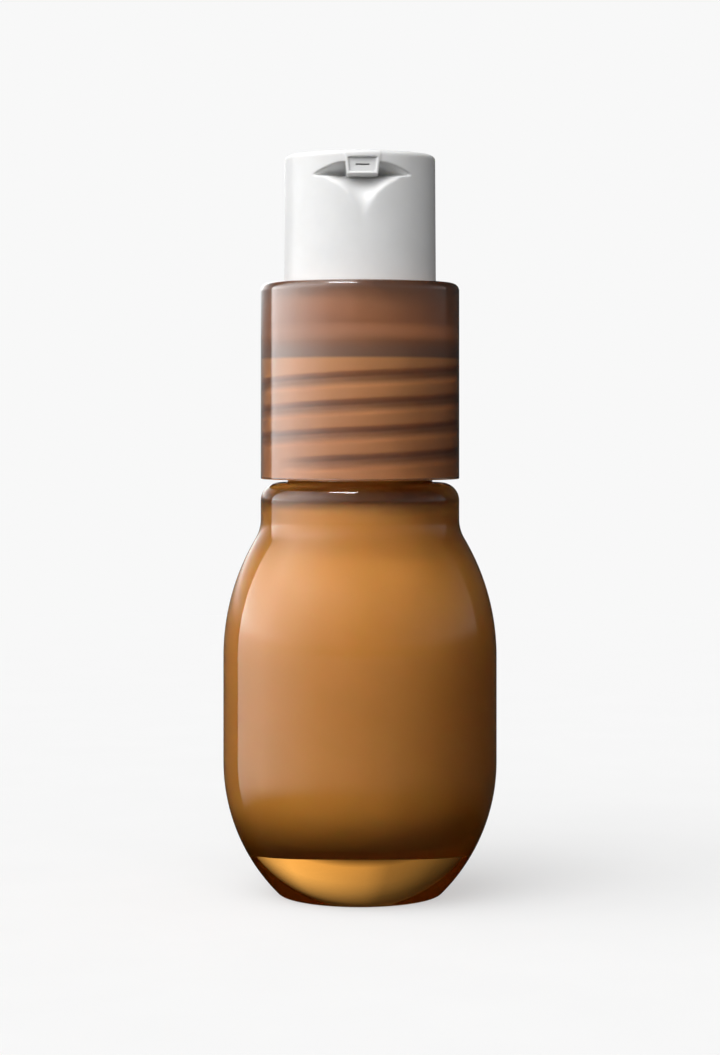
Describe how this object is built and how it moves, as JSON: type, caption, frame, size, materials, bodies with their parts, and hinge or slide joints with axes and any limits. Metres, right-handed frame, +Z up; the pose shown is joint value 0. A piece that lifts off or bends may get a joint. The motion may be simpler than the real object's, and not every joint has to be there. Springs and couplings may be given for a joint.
{
  "type": "glass lotion bottle with treatment pump",
  "caption": "Small rounded amber glass bottle with a screwed translucent closure and a white press-down lotion pump with a scooped spout.",
  "frame": {"origin": "centre of the bottle's foot, on the surface it stands on", "axes": "+Z up along the bottle's axis, -Y the way the spout points, +X to the right seen from the spout's side"},
  "size_m": [0.0322, 0.0322, 0.0869],
  "materials": {
    "amber_glass": "polished amber glass",
    "amber_resin": "polished translucent amber-brown resin",
    "gasket_foam": "pale foamed sealing disc",
    "natural_plastic": "uncoloured moulded plastic",
    "white_plastic": "white moulded plastic",
    "satin_white": "white satin moulded plastic",
    "spring_steel": "bright spring steel"
  },
  "bodies": {
    "bottle_body": {"bottle": "amber_glass"},
    "pump_unit": {"pump_housing": "natural_plastic", "neck_gasket": "gasket_foam", "stem_guide": "white_plastic", "dip_tube": "natural_plastic", "return_spring": "spring_steel"},
    "closure_body": {"closure": "amber_resin"},
    "stem_unit": {"stem": "natural_plastic", "piston_rod": "white_plastic"},
    "piston_body": {"piston": "white_plastic"},
    "ball_body": {"inlet_ball": "spring_steel"},
    "actuator": {"actuator_cap": "satin_white", "nozzle_core": "satin_white"}
  },
  "joints": [
    {"name": "pump_rise", "type": "slide", "parent": "bottle_body", "child": "pump_unit", "axis": [0, 0, 1], "range_m": [0, 0.01111]},
    {"name": "closure_unscrew", "type": "hinge", "parent": "pump_unit", "child": "closure_body", "pos_m": [0, 0, 0.06], "axis": [0, 0, 1], "range_deg": [0, 1260]},
    {"name": "actuator_press", "type": "slide", "parent": "pump_unit", "child": "stem_unit", "axis": [0, 0, 1], "range_m": [-0.0042, 0], "stiffness_N_per_m": 700, "deforming": ["return_spring"]},
    {"name": "actuator_turn", "type": "hinge", "parent": "stem_unit", "child": "actuator", "pos_m": [0, 0, 0.074], "axis": [0, 0, 1], "continuous": true},
    {"name": "piston_slide", "type": "slide", "parent": "pump_unit", "child": "piston_body", "axis": [0, 0, 1], "range_m": [-0.0034, 0]},
    {"name": "ball_lift", "type": "slide", "parent": "pump_unit", "child": "ball_body", "axis": [0, 0, 1], "range_m": [0, 0.0008]}
  ],
  "couplings": [
    {"joint": "closure_unscrew", "follows": "pump_rise", "rad_per_m": 1979},
    {"joint": "piston_slide", "follows": "actuator_press", "ratio": 0.8095}
  ]
}
